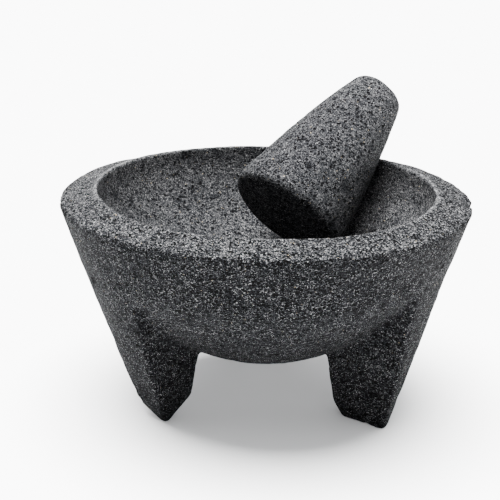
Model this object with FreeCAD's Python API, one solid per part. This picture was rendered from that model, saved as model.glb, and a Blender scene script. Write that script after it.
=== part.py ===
import FreeCAD, Part
import math
import os
from FreeCAD import Vector

# Molcajete: a three-legged mortar carved from one block of vesicular basalt, and
# its loose hand stone, the tejolote.
#
# Frame: millimetres, +Z up, the ground is Z = 0 and the bowl's axis is the Z axis.
# -Y is the front, +X the right-hand side. Azimuths are measured from the front
# (-Y) towards the right (+X); the tejolote's lean is measured from the back (+Y)
# towards the right (+X).
#
# The mortar is one stone. Its bowl and three legs are kept as separate solids that
# meet face to face on the underside of the bowl, so that each one is a simple shape.

# ---- rim and flank --------------------------------------------------------------
RIM_OUTER_R = 105.8         # outer arris of the rim, before its edge is rounded
RIM_OUTER_Z = 112.5
RIM_INNER_R = 87.4          # inner lip of the rim, slightly higher than the arris
RIM_INNER_Z = 117.7
RIM_OUTER_ROUND = 3.0       # worn edge of the outer arris
RIM_INNER_ROUND = 2.5       # worn edge of the inner lip
FLANK_SLOPE = 0.33          # the flank draws in by this much per mm of height

# ---- underside and cavity -------------------------------------------------------
KNEE_Z = 82.5               # the straight flank turns into the rounded underside here
BELLY_Z = 25.5              # lowest point of the bowl, on the axis
CAVITY_DEPTH = 56.4         # from the inner lip to the bottom of the grinding hollow

# ---- legs ----------------------------------------------------------------------
LEG_SIDE_TAPER = 0.20       # each half width shrinks by this much per mm inwards
LEG_TOP_Z = 84.0            # the wedges are cut off by the bowl below this height
LEG_REACH = 110.0           # radius the wedges are drawn to before the flank trims them
LEG_EDGE_ROUND = 2.0        # worn long edges
FOOT_EDGE_ROUND = 1.0       # worn edge of the sole

# Each leg is hand cut and a little different. "left" and "right" are its two sides
# seen from outside with the leg towards the viewer. Lengths are in mm, angles in degrees.
#   azimuth      of its middle plane
#   foot_r       radius of its outer face at the ground
#   left, right  half width at the ground, growth per mm of height
#   inner        inner radius at the ground, how much it closes per mm of height
#   heel         trimmed off the sole's inner edge: along the ground, up
#   bevel        cut off one side of the foot: which side, half width, growth per mm
#   outer_plane  flat cut down the outer face: radius at the ground, growth per mm of
#                height, how far it is turned towards the right
LEFT_LEG = {
    "azimuth": -58.5,
    "foot_r": 67.0,
    "left": (8.0, 0.20),
    "right": (8.6, 0.13),
    "inner": (45.0, 0.10),
    "heel": (9.5, 8.0),
    "bevel": ("left", 2.0, 1.4),
    "outer_plane": (61.0, 0.43, 15.0),
}
RIGHT_LEG = {
    "azimuth": 67.0,
    "foot_r": 74.5,
    "left": (11.8, 0.15),
    "right": (10.5, 0.13),
    "inner": (44.5, 0.13),
    "heel": (5.5, 6.5),
    "bevel": ("right", 4.5, 1.1),
    "outer_plane": (71.0, 0.30, 11.0),
}
REAR_LEG = {
    "azimuth": 184.0,
    "foot_r": 69.0,
    "left": (9.0, 0.15),
    "right": (9.0, 0.15),
    "inner": (45.0, 0.16),
    "heel": (6.0, 8.0),
    "bevel": ("right", 4.5, 1.3),
    "outer_plane": None,
}

# ---- tejolote -------------------------------------------------------------------
GRIND_R = 34.0              # radius of the grinding end, before its edge is rounded
GRIP_R = 15.7               # radius of the narrow end, before its edge is rounded
TEJOLOTE_LENGTH = 95.6
GRIND_DOME = 2.0            # how far the worn grinding face bulges
GRIP_DOME = 1.0             # how far the narrow end bulges
GRIND_ROUND = 9.0           # rounding of the grinding end's edge
GRIP_ROUND = 4.6            # rounding of the narrow end's edge
LEAN_AZ = 45.3              # the way the narrow end points, from the back to the right
LEAN_UP = 37.9              # slope of its axis above the horizontal
GRIND_CENTRE = Vector(7.5, 22.8, 92.4)

Z_AXIS = Vector(0, 0, 1)
ORIGIN = Vector(0, 0, 0)
CLOSE = 0.01                # two heights this near each other count as the same


def revolved(edges):
    """A full turn about the Z axis of a closed outline lying in the XZ plane."""
    face = Part.Face(Part.Wire(edges))
    return face.revolve(ORIGIN, Z_AXIS, 360)


def flank_radius(z):
    """Radius of the straight flank at a height."""
    return RIM_OUTER_R - FLANK_SLOPE * (RIM_OUTER_Z - z)


def round_circle(shape, height, rounding):
    """Round the circular edge that lies level at a height."""
    edges = []
    for edge in shape.Edges:
        box = edge.BoundBox
        level = abs(box.ZMin - height) < CLOSE and abs(box.ZMax - height) < CLOSE
        if level and edge.Length > CLOSE:
            edges.append(edge)
    return shape.makeFillet(rounding, edges)


def underside_edge():
    """Outline of the underside: level at the lowest point, out to the knee."""
    knee = Vector(flank_radius(KNEE_Z), 0, KNEE_Z)
    curve = Part.BezierCurve()
    curve.setPoles([knee, Vector(knee.x / 2, 0, BELLY_Z), Vector(0, 0, BELLY_Z)])
    return curve.toShape()


def make_bowl():
    """The bowl: hollow, sloped rim top, straight flank and rounded underside."""
    floor = Vector(0, 0, RIM_INNER_Z - CAVITY_DEPTH)
    lip = Vector(RIM_INNER_R, 0, RIM_INNER_Z)
    arris = Vector(RIM_OUTER_R, 0, RIM_OUTER_Z)
    knee = Vector(flank_radius(KNEE_Z), 0, KNEE_Z)
    belly = Vector(0, 0, BELLY_Z)

    # a quarter of an ellipse, from the lip down to the floor of the hollow
    hollow = Part.Ellipse(lip, floor, Vector(0, 0, RIM_INNER_Z))
    hollow_edge = Part.Arc(hollow, 0, math.pi / 2).toShape()

    bowl = revolved([
        hollow_edge,
        Part.makeLine(lip, arris),
        Part.makeLine(arris, knee),
        underside_edge(),
        Part.makeLine(belly, floor),
    ])
    bowl = round_circle(bowl, RIM_INNER_Z, RIM_INNER_ROUND)
    bowl = round_circle(bowl, RIM_OUTER_Z, RIM_OUTER_ROUND)
    return bowl.Solids[0]


def space_below_bowl():
    """The space from the ground up to the underside, out to the reach of the legs."""
    knee = Vector(flank_radius(KNEE_Z), 0, KNEE_Z)
    ground_edge = Vector(LEG_REACH, 0, 0)
    knee_level = Vector(LEG_REACH, 0, KNEE_Z)
    return revolved([
        underside_edge(),
        Part.makeLine(Vector(0, 0, BELLY_Z), ORIGIN),
        Part.makeLine(ORIGIN, ground_edge),
        Part.makeLine(ground_edge, knee_level),
        Part.makeLine(knee_level, knee),
    ])


def trim(shape, normal, offset):
    """Cut off everything beyond a plane: the points p with p . normal over the offset."""
    size = 6 * LEG_REACH
    beyond = Part.makeBox(size, size, size, Vector(-size / 2, -size / 2, 0))
    on_plane = normal * (offset / normal.dot(normal))
    beyond.Placement = FreeCAD.Placement(on_plane, FreeCAD.Rotation(Z_AXIS, normal))
    return shape.cut(beyond)


def make_leg(leg):
    """A wedge-shaped leg whose outer face carries on the line of the flank.

    It is cut with the leg pointing to the front (-Y), then turned to its azimuth.
    """
    foot_r = leg["foot_r"]
    wedge = Part.makeBox(
        2 * LEG_REACH, LEG_REACH, LEG_TOP_Z, Vector(-LEG_REACH, -LEG_REACH, 0)
    )
    for side, name in ((-1, "left"), (1, "right")):
        half, growth = leg[name]
        face = Vector(side, LEG_SIDE_TAPER, -growth)
        wedge = trim(wedge, face, half - LEG_SIDE_TAPER * foot_r)

    inner_r, closing = leg["inner"]
    wedge = trim(wedge, Vector(0, 1, -closing), -inner_r)

    heel_out, heel_up = leg["heel"]
    wedge = trim(wedge, Vector(0, heel_up, -heel_out), -(inner_r + heel_out) * heel_up)

    name, half, growth = leg["bevel"]
    side = -1 if name == "left" else 1
    wedge = trim(wedge, Vector(side, 0, -growth), half)

    if leg["outer_plane"]:
        radius, growth, turned = leg["outer_plane"]
        turned = math.radians(turned)
        wedge = trim(wedge, Vector(math.sin(turned), -math.cos(turned), -growth), radius)

    # the outer face is a slice of a cone that meets the flank at the knee
    slope = (flank_radius(KNEE_Z) - foot_r) / KNEE_Z
    outer_cone = Part.makeCone(foot_r, foot_r + slope * LEG_TOP_Z, LEG_TOP_Z)
    wedge = wedge.common(outer_cone).Solids[0]

    below_top = [edge for edge in wedge.Edges if edge.BoundBox.ZMin < LEG_TOP_Z - CLOSE]
    long_edges = [edge for edge in below_top if edge.BoundBox.ZMax > CLOSE]
    wedge = wedge.makeFillet(LEG_EDGE_ROUND, long_edges)
    sole_edges = [edge for edge in wedge.Edges if edge.BoundBox.ZMax < CLOSE]
    wedge = wedge.makeFillet(FOOT_EDGE_ROUND, sole_edges)

    wedge.rotate(ORIGIN, Z_AXIS, leg["azimuth"])
    return wedge.common(space_below_bowl()).Solids[0]


def half_of(arc, start, end):
    """The part of a circular arc between two points on it."""
    circle = arc.toShape().Curve
    first = circle.parameter(start)
    last = circle.parameter(end)
    return Part.Arc(circle, first, last).toShape()


def make_tejolote():
    """The hand stone: a stubby cone with a worn, slightly domed grinding end."""
    grind_edge = Vector(GRIND_R, 0, 0)
    grip_edge = Vector(GRIP_R, 0, TEJOLOTE_LENGTH)
    grind_tip = Vector(0, 0, -GRIND_DOME)
    grip_tip = Vector(0, 0, TEJOLOTE_LENGTH + GRIP_DOME)
    grind_face = Part.Arc(Vector(-GRIND_R, 0, 0), grind_tip, grind_edge)
    grip_face = Part.Arc(grip_edge, grip_tip, Vector(-GRIP_R, 0, TEJOLOTE_LENGTH))

    stone = revolved([
        half_of(grind_face, grind_tip, grind_edge),
        Part.makeLine(grind_edge, grip_edge),
        half_of(grip_face, grip_edge, grip_tip),
        Part.makeLine(grip_tip, grind_tip),
    ])
    stone = round_circle(stone, 0, GRIND_ROUND)
    stone = round_circle(stone, TEJOLOTE_LENGTH, GRIP_ROUND).Solids[0]

    up = math.radians(LEAN_UP)
    around = math.radians(LEAN_AZ)
    level = math.cos(up)
    axis = Vector(level * math.sin(around), level * math.cos(around), math.sin(up))
    stone.Placement = FreeCAD.Placement(GRIND_CENTRE, FreeCAD.Rotation(Z_AXIS, axis))
    return stone


os.makedirs("parts", exist_ok=True)
pieces = {
    "bowl": make_bowl(),
    "leg_left": make_leg(LEFT_LEG),
    "leg_right": make_leg(RIGHT_LEG),
    "leg_rear": make_leg(REAR_LEG),
    "tejolote": make_tejolote(),
}
for name, shape in pieces.items():
    shape.exportStep(os.path.join("parts", name + ".step"))
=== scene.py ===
import math

import bpy
import numpy as np
from mathutils import Matrix, Vector


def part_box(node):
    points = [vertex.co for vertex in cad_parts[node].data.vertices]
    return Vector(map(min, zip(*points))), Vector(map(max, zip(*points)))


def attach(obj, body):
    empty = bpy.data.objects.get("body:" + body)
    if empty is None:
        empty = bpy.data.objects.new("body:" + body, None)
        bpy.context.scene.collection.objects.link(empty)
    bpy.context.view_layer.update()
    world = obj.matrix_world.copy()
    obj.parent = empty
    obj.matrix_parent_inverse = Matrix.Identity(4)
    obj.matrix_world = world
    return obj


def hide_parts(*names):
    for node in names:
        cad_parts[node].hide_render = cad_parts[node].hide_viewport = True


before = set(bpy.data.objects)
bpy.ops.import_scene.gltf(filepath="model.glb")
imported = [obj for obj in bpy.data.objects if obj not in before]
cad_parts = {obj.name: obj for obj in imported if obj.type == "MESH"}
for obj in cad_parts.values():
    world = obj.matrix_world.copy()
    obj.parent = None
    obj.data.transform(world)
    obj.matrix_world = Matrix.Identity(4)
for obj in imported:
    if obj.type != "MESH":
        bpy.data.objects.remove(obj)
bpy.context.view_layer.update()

# =====================================================================================
# Sizes, in millimetres. The rim, the underside and the hand stone's place come from the
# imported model.
# =====================================================================================
MM = 0.001
bowl_lo, bowl_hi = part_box("bowl")
WORN_AWAY = 0.8             # lost where the rim's edges are worn round
RIM_OUTER_R = (bowl_hi.x - bowl_lo.x) / 2 / MM + WORN_AWAY     # arris, unworn
LIP_R = 87.4                # inner lip, unworn
LIP_Z = bowl_hi.z / MM + WORN_AWAY
ARRIS_Z = LIP_Z - 5.2       # the rim's top slopes down outwards
BELLY_Z = bowl_lo.z / MM    # underside, on the axis
FLANK_SLOPE = 0.33          # the flank draws in by this much per mm of height
KNEE_Z = 82.5               # the flank turns into the rounded underside here
KNEE_R = RIM_OUTER_R - FLANK_SLOPE * (ARRIS_Z - KNEE_Z)
HOLLOW_DEPTH = 56.4
HOLLOW_DRAW_IN = 1.7        # the hollow is this much narrower at its left and right
LEFT_FULLER = 0.07          # the underside rises this share less towards the left leg

EDGE_ROUND = 2.2            # lip, flank and most edges of the legs
ARRIS_ROUND = 2.4
SOLE_ROUND = 1.2
BEVEL_ROUND = 3.2
LEG_BLEND = 3.5             # where a leg runs into the underside
BETWEEN_LEGS_R = 68.0       # outer radius on the ground away from any leg
LEG_REACH_POWER = 6         # how quickly that gives way to a leg's own radius

# Each leg in its own directions: radial is outwards, across is along the rim, positive
# to the right for somebody who looks at the leg from outside.
#   azimuth   of its middle plane, degrees from the front towards the right
#   foot      outer radius on the ground
#   sides     for across < 0 and > 0: half width on the ground, growth per mm of height,
#             and how much it shrinks per mm inwards
#   inner     inner radius on the ground and how much it closes per mm of height
#   heel      how far the sole's inner edge is trimmed: along the ground, and up
#   bevel     side (-1 or 1) that is cut away at the foot, half width there, growth per mm
#   toe       outer plane: radius on the ground, growth per mm, degrees turned to the right
LEGS = [
    {
        "azimuth": -58.5,
        "foot": 66.8,
        "sides": ((8.0, 0.20, 0.20), (9.2, 0.165, 0.28)),
        "inner": (45.6, 0.09),
        "heel": (13.0, 10.0),
        "bevel": (-1, -1.6, 1.5),
        "toe": (62.0, 0.43, 15.0),
    },
    {
        "azimuth": 67.0,
        "foot": 75.0,
        "sides": ((12.2, 0.15, 0.20), (10.5, 0.13, 0.20)),
        "inner": (44.3, 0.13),
        "heel": (5.0, 6.0),
        "bevel": (1, 2.5, 1.1),
        "toe": (71.3, 0.30, 11.0),
    },
    {
        "azimuth": 184.0,
        "foot": 69.0,
        "sides": ((9.0, 0.15, 0.20), (9.0, 0.15, 0.20)),
        "inner": (45.0, 0.16),
        "heel": (6.0, 8.0),
        "bevel": (1, 3.0, 1.3),
        "toe": (66.5, 0.36, -6.0),
    },
]

# The hand stone: a barrel, where a plain cone would have a radius of 24.2 half way
STONE_LENGTH = 93.5
GRIND_R = 33.4
MIDDLE_R = 26.35
GRIP_R = 15.0
GRIND_DOME = 2.0
GRIP_DOME = 1.0
GRIND_ROUND = 5.5
GRIP_ROUND = 3.0
STONE_SLANT = 1.02          # slant length of its side for each unit along its axis
STONE_SHIFT = np.array([1.8, -0.5, 2.7])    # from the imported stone's place

MORTAR_STEP = 1.34   # spacing of the meshing grids
STONE_STEP = 0.7
MARGIN = 4                  # of the meshing grids round each stone

MORTAR_SEED = 100
CHIP_SEED = 300
STONE_SEED = 500
CHIP_DEPTH = 1.3


# =====================================================================================
# Noise
# =====================================================================================
def hash3(cell, seed):
    """Repeatable random number in 0..1 for whole-numbered cells."""
    h = (cell[..., 0] * 374761393 + cell[..., 1] * 668265263 + cell[..., 2] * 2147483647
         + seed * 974634777) & 0xFFFFFFFF
    h = ((h ^ (h >> 13)) * 1274126177) & 0xFFFFFFFF
    h = ((h ^ (h >> 16)) * 2246822519) & 0xFFFFFFFF
    h = h ^ (h >> 15)
    return h.astype(np.float64) / 4294967296.0


def noise3(p, wavelength, seed):
    """Smooth value noise in -1..1."""
    q = p / wavelength + 1000.0
    base = np.floor(q)
    f = q - base
    f = f * f * f * (f * (f * 6 - 15) + 10)
    base = base.astype(np.int64)
    total = np.zeros(len(p))
    for dx in (0, 1):
        for dy in (0, 1):
            for dz in (0, 1):
                corner = hash3(base + np.array([dx, dy, dz]), seed)
                weight = ((f[:, 0] if dx else 1 - f[:, 0]) * (f[:, 1] if dy else 1 - f[:, 1])
                          * (f[:, 2] if dz else 1 - f[:, 2]))
                total += corner * weight
    return total * 2 - 1


def pits3(p, spacing, share, seed):
    """Depth of scattered rounded pits, 0 outside them and up to 1 in their middle."""
    q = p / spacing + 1000.0
    base = np.floor(q).astype(np.int64)
    depth = np.zeros(len(p))
    for dx in (-1, 0, 1):
        for dy in (-1, 0, 1):
            for dz in (-1, 0, 1):
                cell = base + np.array([dx, dy, dz])
                present = hash3(cell, seed) < share
                centre = np.stack([hash3(cell, seed + k) for k in (1, 2, 3)], -1) + cell
                size = 0.22 + 0.33 * hash3(cell, seed + 4) ** 2
                d = np.linalg.norm(q - centre, axis=1) / size
                bowl = np.clip(1 - d * d, 0, 1) * present * (size / 0.55)
                depth = np.maximum(depth, bowl)
    return depth


# =====================================================================================
# Solid shapes as distance functions, and a mesher for them
# =====================================================================================
def smoothstep(a, b, x):
    t = np.clip((x - a) / (b - a), 0, 1)
    return t * t * (3 - 2 * t)


def smooth_min(a, b, k):
    h = np.clip(0.5 + 0.5 * (b - a) / k, 0, 1)
    return b * (1 - h) + a * h - k * h * (1 - h)


def smooth_max(a, b, k):
    return -smooth_min(-a, -b, k)


def hollow_distance(r, z):
    """Negative inside the stone, positive inside the grinding hollow."""
    e = np.hypot(r / LIP_R, (LIP_Z - z) / HOLLOW_DEPTH)
    slope = np.hypot(r / LIP_R ** 2, (LIP_Z - z) / HOLLOW_DEPTH ** 2) / np.maximum(e, 1e-6)
    return (1 - e) / np.maximum(slope, 1e-3)


def wedge_distance(p, azimuth, leg):
    """A leg before its outer face is cut: side faces, inner face, trimmed heel and foot."""
    radial = p[:, 0] * math.sin(azimuth) - p[:, 1] * math.cos(azimuth)
    across = p[:, 0] * math.cos(azimuth) + p[:, 1] * math.sin(azimuth)
    z = p[:, 2]
    inner_r, closing = leg["inner"]
    shape = (inner_r - closing * z - radial) / math.hypot(1, closing)
    for side, (half, growth, taper) in zip((-1, 1), leg["sides"]):
        width = half + growth * z - taper * (leg["foot"] - radial)
        face = (side * across - width) / math.sqrt(1 + growth ** 2 + taper ** 2)
        shape = smooth_max(shape, face, EDGE_ROUND)
    toe_r, growth, facing = leg["toe"]
    out = radial * math.cos(math.radians(facing)) + across * math.sin(math.radians(facing))
    face = (out - toe_r - growth * z) / math.hypot(1, growth)
    shape = smooth_max(shape, face, EDGE_ROUND)
    side, half, growth = leg["bevel"]
    face = (side * across - half - growth * z) / math.hypot(1, growth)
    shape = smooth_max(shape, face, BEVEL_ROUND)
    run, rise = leg["heel"]
    cut = ((inner_r + run - radial) * rise - z * run) / math.hypot(run, rise)
    return smooth_max(shape, cut, EDGE_ROUND)


def mortar_distance(p):
    """Roughly the distance to the mortar's surface, negative inside the stone."""
    x, y, z = p[:, 0], p[:, 1], p[:, 2]
    r = np.hypot(x, y)
    hollow_r = r + HOLLOW_DRAW_IN * smoothstep(0.75, 1.0, np.abs(x) / np.maximum(r, 1))

    # underside of the bowl, with the legs growing out of it
    to_left = smoothstep(0.45, 0.9, -x / np.maximum(r, 1))
    curve = (KNEE_Z - BELLY_Z) / KNEE_R ** 2 * (1 - LEFT_FULLER * to_left)
    core = (BELLY_Z + curve * r * r - z) / np.hypot(1, 2 * curve * r)
    foot_r = np.full(len(p), BETWEEN_LEGS_R)
    for leg in LEGS:
        azimuth = math.radians(leg["azimuth"])
        core = smooth_min(core, wedge_distance(p, azimuth, leg), LEG_BLEND)
        outwards = x * math.sin(azimuth) - y * math.cos(azimuth)
        facing = np.clip(outwards / np.maximum(r, 1), 0, 1)
        foot_r += (leg["foot"] - BETWEEN_LEGS_R) * facing ** LEG_REACH_POWER

    # flank above the knee, carried on down the outer faces of the legs
    flank = RIM_OUTER_R - FLANK_SLOPE * (ARRIS_Z - z)
    leg_face = foot_r + (KNEE_R - foot_r) * z / KNEE_Z
    outer = (r - np.where(z > KNEE_Z, flank, leg_face)) / math.hypot(1, FLANK_SLOPE)
    rim_slope = (LIP_Z - ARRIS_Z) / (RIM_OUTER_R - LIP_R)
    rim = (z - (LIP_Z - rim_slope * (r - LIP_R))) / math.hypot(1, rim_slope)
    solid = smooth_max(core, outer, EDGE_ROUND)
    solid = smooth_max(solid, rim, ARRIS_ROUND)
    solid = smooth_max(solid, -z, SOLE_ROUND)
    return smooth_max(solid, hollow_distance(hollow_r, z), EDGE_ROUND)


def surface_mesh(distance, lo, hi, step):
    """Surface nets: points and quads on the zero level of a distance function."""
    axes = [np.arange(lo[i], hi[i] + step, step) for i in range(3)]
    shape = tuple(len(a) for a in axes)
    field = np.empty(shape, np.float32)
    gy, gz = np.meshgrid(axes[1], axes[2], indexing="ij")
    flat = np.empty((gy.size, 3))
    flat[:, 1] = gy.ravel()
    flat[:, 2] = gz.ravel()
    for i, x in enumerate(axes[0]):
        flat[:, 0] = x
        field[i] = distance(flat).reshape(gy.shape)
    inside = field < 0

    corners = [(i, j, k) for i in (0, 1) for j in (0, 1) for k in (0, 1)]
    n = tuple(s - 1 for s in shape)
    count = np.zeros(n, np.int8)
    for i, j, k in corners:
        count += inside[i:i + n[0], j:j + n[1], k:k + n[2]]
    active = (count > 0) & (count < 8)
    cells = np.argwhere(active)
    index = np.full(n, -1, np.int64)
    index[active] = np.arange(len(cells))

    total = np.zeros((len(cells), 3))
    hits = np.zeros(len(cells))
    for a in corners:
        for axis in range(3):
            if a[axis]:
                continue
            b = list(a)
            b[axis] = 1
            va = field[tuple((cells + a).T)]
            vb = field[tuple((cells + b).T)]
            cross = (va < 0) != (vb < 0)
            t = np.where(cross, va / np.where(cross, va - vb, 1), 0)
            point = np.array(a, float) + np.zeros((len(cells), 3))
            point[:, axis] += t
            total += point * cross[:, None]
            hits += cross
    points = np.array(lo) + (cells + total / hits[:, None]) * step

    quads = []
    for axis in range(3):
        u, v = [(1, 2), (2, 0), (0, 1)][axis]
        first = [slice(None)] * 3
        second = [slice(None)] * 3
        first[axis] = slice(0, -1)
        second[axis] = slice(1, None)
        a = inside[tuple(first)]
        b = inside[tuple(second)]
        for flag, flip in ((a & ~b, False), (b & ~a, True)):
            e = np.argwhere(flag)
            e = e[(e[:, u] > 0) & (e[:, v] > 0)]
            ring = []
            for du, dv in ((-1, -1), (0, -1), (0, 0), (-1, 0)):
                c = e.copy()
                c[:, u] += du
                c[:, v] += dv
                ring.append(index[tuple(c.T)])
            q = np.stack(ring, -1)
            quads.append(q[:, ::-1] if flip else q)
    quads = np.concatenate(quads)

    # settle the points onto the surface
    for _ in range(3):
        d, g = value_and_slope(distance, points)
        points -= g * np.clip(d, -step, step)[:, None]
    return points, quads


def value_and_slope(distance, p, eps=0.05):
    """The distance at each point, made true to scale, and its unit slope: the normal."""
    d = distance(p)
    g = np.empty_like(p)
    for axis in range(3):
        q = p.copy()
        q[:, axis] += eps
        g[:, axis] = (distance(q) - d) / eps
    length = np.maximum(np.linalg.norm(g, axis=1), 1e-6)
    return d / length, g / length[:, None]


def make_object(name, points, quads, layers):
    """A smooth-shaded object in the scene, with a number per point for each layer."""
    mesh = bpy.data.meshes.new(name)
    mesh.vertices.add(len(points))
    mesh.vertices.foreach_set("co", (points * MM).astype(np.float32).ravel())
    mesh.loops.add(quads.size)
    mesh.loops.foreach_set("vertex_index", quads.astype(np.int32).ravel())
    mesh.polygons.add(len(quads))
    mesh.polygons.foreach_set("loop_start", np.arange(0, quads.size, 4, dtype=np.int32))
    mesh.polygons.foreach_set("use_smooth", np.ones(len(quads), bool))
    mesh.update(calc_edges=True)
    mesh.validate()
    for layer, values in layers.items():
        attribute = mesh.attributes.new(layer, "FLOAT", "POINT")
        attribute.data.foreach_set("value", values.astype(np.float32))
    thing = bpy.data.objects.new(name, mesh)
    bpy.context.scene.collection.objects.link(thing)
    return thing


def weathered(points, normals, coarse, seed):
    """Hand-carved unevenness, pecking marks and open vesicles cut into a surface.

    coarse is 1 where the stone is only pecked and 0 where grinding has worn it smooth.
    Returns the moved points and how deep in a vesicle each one lies.
    """
    uneven = 0.50 * noise3(points, 38.0, seed) + 0.18 * noise3(points, 17.0, seed + 1)
    pecked = 0.20 * noise3(points, 7.5, seed + 2) + 0.16 * noise3(points, 3.6, seed + 3)
    deep = pits3(points, 7.0, 0.35, seed + 10)
    small = pits3(points, 4.0, 0.55, seed + 20)
    fall = 0.7 * deep * (0.35 + 0.65 * coarse) + 0.55 * small * (0.3 + 0.7 * coarse)
    move = uneven * 0.8 - 0.25 + pecked * (0.3 + 0.7 * coarse) - fall
    return points + normals * move[:, None], np.clip(deep + 0.7 * small, 0, 1)


mortar_points, mortar_quads = surface_mesh(
    mortar_distance,
    (-RIM_OUTER_R - MARGIN, -RIM_OUTER_R - MARGIN, -MARGIN),
    (RIM_OUTER_R + MARGIN, RIM_OUTER_R + MARGIN, LIP_Z + MARGIN),
    MORTAR_STEP,
)
_, normals = value_and_slope(mortar_distance, mortar_points)
radius = np.hypot(mortar_points[:, 0], mortar_points[:, 1])
height = mortar_points[:, 2]
from_hollow = -hollow_distance(radius, height)
in_hollow = (1 - smoothstep(-1, 1, from_hollow - 1.5)) * (radius < LIP_R + 2)
on_rim = smoothstep(0.6, 0.95, normals[:, 2]) * (height > ARRIS_Z - 6)
outwards = normals[:, 0] * mortar_points[:, 0] + normals[:, 1] * mortar_points[:, 1]
# Faces below the knee that turn away from outwards, the legs' side faces and the underside, get
# painted shade.
shaded_side = smoothstep(0.15, 0.5, 0.55 - outwards / np.maximum(radius, 1))
shaded_side = shaded_side * (height < KNEE_Z) * (1 - in_hollow)
coarse = np.clip(1.0 - 0.65 * in_hollow - 0.15 * on_rim, 0, 1)

# chips along the rim's outer arris
from_arris = np.hypot(radius - RIM_OUTER_R + 0.5, height - ARRIS_Z)
near_arris = 1 - smoothstep(1.0, 6.5, from_arris)
ragged = noise3(mortar_points, 9.5, CHIP_SEED) + 0.6 * noise3(mortar_points, 3.4, CHIP_SEED + 1)
chips = smoothstep(0.0, 0.9, ragged)
mortar_points, mortar_pits = weathered(mortar_points, normals, coarse, MORTAR_SEED)
mortar_points -= normals * (CHIP_DEPTH * near_arris * chips)[:, None]
mortar_points[:, 2] = np.maximum(mortar_points[:, 2], 0)
print("mortar", len(mortar_points), "points", len(mortar_quads), "quads")

# tone is the stone's brightness in stops: the pecked outside is darkest, the ground hollow
# palest. The rim top and the hollow are painted paler, partly wear and partly painted light from
# above; the legs' side faces and the underside are painted darker, painted shade under the bowl.
tone_and_painted_light = -7.9 + 1.6 * on_rim + 2.66 * in_hollow - 0.15 * shaded_side
mortar = make_object("mortar_stone", mortar_points, mortar_quads,
                     {"tone_and_painted_light": tone_and_painted_light, "coarse": coarse, "pit_shade": mortar_pits})

# =====================================================================================
# The hand stone
# =====================================================================================
stone_points = np.array([v.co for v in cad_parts["tejolote"].data.vertices]) / MM
middle = stone_points.mean(0)
_, _, directions = np.linalg.svd(stone_points - middle, full_matrices=False)
axis = directions[0] * math.copysign(1, directions[0][2])       # towards the narrow end
along = (stone_points - middle) @ axis
grind_middle = middle + axis * (along.min() + GRIND_DOME) + STONE_SHIFT


def tejolote_distance(p):
    """Roughly the distance to the hand stone's surface, negative inside the stone."""
    rel = p - grind_middle
    s = rel @ axis
    r = np.linalg.norm(rel - s[:, None] * axis, axis=1)
    t = s / STONE_LENGTH
    radius = (GRIND_R * (1 - t) * (1 - 2 * t) + MIDDLE_R * 4 * t * (1 - t)
              + GRIP_R * t * (2 * t - 1))
    grind = GRIND_DOME * (r / GRIND_R) ** 2 - s - GRIND_DOME
    grip = s - STONE_LENGTH - GRIP_DOME + GRIP_DOME * (r / GRIP_R) ** 2
    shape = smooth_max((r - radius) / STONE_SLANT, grind, GRIND_ROUND)
    return smooth_max(shape, grip, GRIP_ROUND)


stone_lo, stone_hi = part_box("tejolote")
stone_pts, stone_quads = surface_mesh(
    tejolote_distance,
    tuple(c / MM - MARGIN for c in stone_lo),
    tuple(c / MM + MARGIN for c in stone_hi),
    STONE_STEP,
)
_, normals = value_and_slope(tejolote_distance, stone_pts)
end_face = smoothstep(0.5, 0.9, -(normals @ axis))
coarse = 0.55 + 0.1 * end_face
stone_pts, stone_pits = weathered(stone_pts, normals, coarse, STONE_SEED)
print("tejolote", len(stone_pts), "points")
# The grinding end is painted 0.3 stops darker: painted shade on the face that turns down into
# the hollow.
stone = make_object("tejolote_stone", stone_pts, stone_quads,
                    {"tone_and_painted_light": -5.40 - 0.3 * end_face, "coarse": coarse, "pit_shade": stone_pits})

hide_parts("bowl", "leg_left", "leg_right", "leg_rear")
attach(mortar, "mortar")
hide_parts("tejolote")
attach(stone, "tejolote")

# =====================================================================================
# Materials. Sizes of the patterns are in millimetres.
# =====================================================================================
GRAIN = 0.55
FLECK = 0.52
SPECK = 1.25
CRYSTAL = 1.15
PORE = 2.1
MOTTLE = 6.0
BLOTCH = 34.0
PALEST = -1.6               # stops
# Blue painted into the darkest stone for the cool tint of shade.
SHADE_BLUE = (0.84, 0.94, 1.13, 1)
NEUTRAL = (1.0, 0.995, 1.01, 1)
TAN = (1.3, 1.03, 0.62, 1)
BUMP_HEIGHT = 0.9


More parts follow.
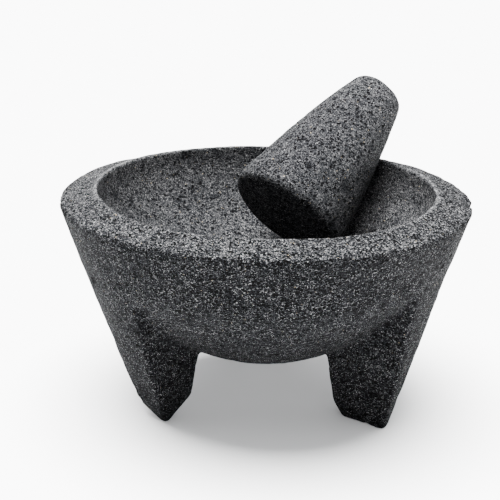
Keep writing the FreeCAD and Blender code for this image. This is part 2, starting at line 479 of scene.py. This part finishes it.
class Graph:
    """Small helpers for writing a node material."""

    def __init__(self, name):
        self.material = bpy.data.materials.new(name)
        self.material.use_nodes = True
        self.nodes = self.material.node_tree.nodes
        self.links = self.material.node_tree.links
        self.shader = self.nodes["Principled BSDF"]

    def node(self, kind, **settings):
        made = self.nodes.new(kind)
        for key, value in settings.items():
            setattr(made, key, value)
        return made

    def feed(self, socket, value):
        if isinstance(value, bpy.types.NodeSocket):
            self.links.new(value, socket)
        else:
            socket.default_value = value

    def math(self, operation, a, b, c=None):
        made = self.node("ShaderNodeMath", operation=operation)
        self.feed(made.inputs[0], a)
        self.feed(made.inputs[1], b)
        if c is not None:
            self.feed(made.inputs[2], c)
        return made.outputs[0]

    def attribute(self, name):
        return self.node("ShaderNodeAttribute", attribute_name=name).outputs["Fac"]

    def noise(self, place, size_mm, detail, roughness):
        made = self.node("ShaderNodeTexNoise")
        self.feed(made.inputs["Vector"], place)
        made.inputs["Scale"].default_value = 1 / (size_mm * MM)
        made.inputs["Detail"].default_value = detail
        made.inputs["Roughness"].default_value = roughness
        return made.outputs["Fac"]

    def cells(self, place, size_mm):
        """Voronoi cells: distance to the middle of each, and a random number for each."""
        made = self.node("ShaderNodeTexVoronoi")
        self.feed(made.inputs["Vector"], place)
        made.inputs["Scale"].default_value = 1 / (size_mm * MM)
        split = self.node("ShaderNodeSeparateColor")
        self.feed(split.inputs[0], made.outputs["Color"])
        return made.outputs["Distance"], split.outputs[0], split.outputs[1]

    def pores(self, place, size_mm, share, radius):
        """Round holes of mixed sizes in a share of the cells: 1 inside a hole, 0 outside."""
        distance, pick, _ = self.cells(place, size_mm)
        reach = self.math("MAXIMUM", self.ramp(pick, 1 - share, 1.0, 0.0, radius), 0.01)
        return self.ramp(self.math("DIVIDE", distance, reach), 0.6, 1.0, 1.0, 0.0)

    def ramp(self, value, low, high, to_low=0.0, to_high=1.0):
        made = self.node("ShaderNodeMapRange", interpolation_type="SMOOTHSTEP")
        self.feed(made.inputs["Value"], value)
        made.inputs["From Min"].default_value = low
        made.inputs["From Max"].default_value = high
        made.inputs["To Min"].default_value = to_low
        made.inputs["To Max"].default_value = to_high
        return made.outputs["Result"]


def basalt(name, contrast=1.0):
    """Dark vesicular basalt: fine salt-and-pepper grain, pores painted black for the shade
    inside them, a few pale crystals.

    The brightness is worked out in stops and turned into a reflectance at the end.
    """
    g = Graph(name)
    # Patterns are squashed in height, so the painted dark of the pores runs level, like pits
    # shaded from above.
    flat = g.node("ShaderNodeVectorMath", operation="MULTIPLY")
    g.feed(flat.inputs[0], g.node("ShaderNodeTexCoord").outputs["Object"])
    flat.inputs[1].default_value = (1.0, 1.0, 1.35)
    place = flat.outputs["Vector"]
    tone_and_painted_light = g.attribute("tone_and_painted_light")
    coarse = g.attribute("coarse")
    pit_shade = g.attribute("pit_shade")

    grain = g.noise(place, GRAIN, 2.0, 0.8)
    _, fleck, _ = g.cells(place, FLECK)
    mottle = g.noise(place, MOTTLE, 3.0, 0.6)
    blotch = g.noise(place, BLOTCH, 2.0, 0.5)
    pore = g.pores(place, PORE, 0.55, 0.55)
    speck = g.pores(place, SPECK, 0.48, 0.70)
    distance, pick, hue = g.cells(place, CRYSTAL)
    crystal = g.math("MULTIPLY", g.ramp(distance, 0.2, 0.36, 1.0, 0.0), g.ramp(pick, 0.74, 0.80))

    spread = g.math("MULTIPLY_ADD", coarse, 8.2 * contrast, 2.4 * contrast)
    centred = g.math("SUBTRACT", grain, 0.5)
    mixed = g.math("MULTIPLY_ADD", centred, 3.2, g.math("SUBTRACT", fleck, 0.5))
    mixed = g.math("MULTIPLY_ADD", g.math("MAXIMUM", mixed, 0.0), -0.4, mixed)
    stops = g.math("MULTIPLY_ADD", mixed, spread, tone_and_painted_light)
    stops = g.math("MULTIPLY_ADD", g.math("SUBTRACT", mottle, 0.5), 1.8, stops)
    stops = g.math("MULTIPLY_ADD", g.math("SUBTRACT", blotch, 0.5), 1.2, stops)
    # Pores and specks are dents in the bump only; they are painted dark, painted shade inside
    # the holes, darkest where the stone is only pecked.
    stops = g.math("MULTIPLY_ADD", speck, g.math("MULTIPLY_ADD", coarse, -5.2, -0.4), stops)
    stops = g.math("MULTIPLY_ADD", pore, g.math("MULTIPLY_ADD", coarse, -3.2, -1.8), stops)
    # Vesicle holes in the mesh are painted darker still: painted shade inside the holes.
    stops = g.math("MULTIPLY_ADD", pit_shade, -1.6, stops)
    stops = g.math("MULTIPLY_ADD", crystal, 2.0, stops)
    stops = g.math("MINIMUM", stops, PALEST)
    light = g.math("POWER", 2.0, stops)

    # The darker the stone, the bluer it is painted: painted cool shade, neutral where lit.
    shade_tint = g.node("ShaderNodeMix", data_type="RGBA")
    g.feed(shade_tint.inputs["Factor"], g.ramp(stops, -7.4, -3.9))
    shade_tint.inputs["A"].default_value = SHADE_BLUE
    shade_tint.inputs["B"].default_value = NEUTRAL
    tan = g.node("ShaderNodeMix", data_type="RGBA")
    g.feed(tan.inputs["Factor"], g.math("MULTIPLY", crystal, g.ramp(hue, 0.86, 0.90)))
    g.feed(tan.inputs["A"], shade_tint.outputs["Result"])
    tan.inputs["B"].default_value = TAN
    colour = g.node("ShaderNodeVectorMath", operation="SCALE")
    g.feed(colour.inputs[0], tan.outputs["Result"])
    g.feed(colour.inputs["Scale"], light)
    g.feed(g.shader.inputs["Base Color"], colour.outputs["Vector"])

    g.feed(g.shader.inputs["Roughness"], g.ramp(grain, 0.3, 0.75, 0.98, 0.80))
    g.shader.inputs["Specular IOR Level"].default_value = 0.04

    relief = g.math("MULTIPLY", grain, 0.8)
    relief = g.math("MULTIPLY_ADD", fleck, 0.25, relief)
    relief = g.math("MULTIPLY_ADD", pore, -0.9, relief)
    relief = g.math("MULTIPLY_ADD", speck, -0.35, relief)
    relief = g.math("MULTIPLY_ADD", mottle, 0.6, relief)
    bump = g.node("ShaderNodeBump")
    bump.inputs["Strength"].default_value = 1.45
    bump.inputs["Distance"].default_value = BUMP_HEIGHT * MM
    g.feed(bump.inputs["Height"], relief)
    g.feed(g.shader.inputs["Normal"], bump.outputs["Normal"])
    return g.material


mortar.data.materials.append(basalt("mortar_basalt"))
stone.data.materials.append(basalt("tejolote_basalt", 0.72))

# =====================================================================================
# Stage, lights, camera
# =====================================================================================
FLOOR_HALF = 40.0           # metres; its edge shows only from very low viewpoints
FLOOR_GREY = (0.8, 0.8, 0.8, 1)
SKY_COLOUR = (0.975, 0.985, 1.0, 1)
SKY_STRENGTH = 1.8
OVERHEAD_ENERGY = 36.0
OVERHEAD_SPREAD = math.radians(46)
OVERHEAD_DIRECTION = Vector((0.08, -0.02, -1))
CAMERA_DISTANCE = 0.619     # metres, from the middle of the rim
CAMERA_ELEVATION = math.radians(15.85)
CAMERA_PITCH = math.radians(18.50)
CAMERA_HEADING = math.radians(-0.744)
CAMERA_ROLL = math.radians(1.14)

floor_mesh = bpy.data.meshes.new("floor")
signs = [(-1, -1), (1, -1), (1, 1), (-1, 1)]
corners = [(x * FLOOR_HALF, y * FLOOR_HALF, 0) for x, y in signs]
floor_mesh.from_pydata(corners, [], [(0, 1, 2, 3)])
floor = bpy.data.objects.new("floor", floor_mesh)
bpy.context.scene.collection.objects.link(floor)
paper = bpy.data.materials.new("paper")
paper.use_nodes = True
paper_shader = paper.node_tree.nodes["Principled BSDF"]
paper_shader.inputs["Base Color"].default_value = FLOOR_GREY
paper_shader.inputs["Roughness"].default_value = 1.0
floor_mesh.materials.append(paper)

world = bpy.data.worlds.new("world")
bpy.context.scene.world = world
world.use_nodes = True
sky = world.node_tree.nodes["Background"]
sky.inputs["Color"].default_value = SKY_COLOUR
sky.inputs["Strength"].default_value = SKY_STRENGTH

overhead = bpy.data.lights.new("overhead", "SUN")
overhead.energy = OVERHEAD_ENERGY
overhead.angle = OVERHEAD_SPREAD
lamp = bpy.data.objects.new("overhead", overhead)
bpy.context.scene.collection.objects.link(lamp)
lamp.rotation_euler = OVERHEAD_DIRECTION.to_track_quat("-Z", "Y").to_euler()

aim = Vector((0, 0, ARRIS_Z * MM))
towards_eye = Vector((0, -math.cos(CAMERA_ELEVATION), math.sin(CAMERA_ELEVATION)))
eye = aim + CAMERA_DISTANCE * towards_eye
forward = Vector((
    math.sin(CAMERA_HEADING) * math.cos(CAMERA_PITCH),
    math.cos(CAMERA_HEADING) * math.cos(CAMERA_PITCH),
    -math.sin(CAMERA_PITCH),
))
level_right = Vector((math.cos(CAMERA_HEADING), -math.sin(CAMERA_HEADING), 0))
level_down = forward.cross(level_right)
right = level_right * math.cos(CAMERA_ROLL) - level_down * math.sin(CAMERA_ROLL)
down = level_right * math.sin(CAMERA_ROLL) + level_down * math.cos(CAMERA_ROLL)
camera_data = bpy.data.cameras.new("camera")
camera_data.lens = 86.4
camera_data.sensor_width = 36.0
camera = bpy.data.objects.new("camera", camera_data)
bpy.context.scene.collection.objects.link(camera)
turn = Matrix((right, -down, -forward)).transposed()
camera.matrix_world = Matrix.Translation(eye) @ turn.to_4x4()
bpy.context.scene.camera = camera
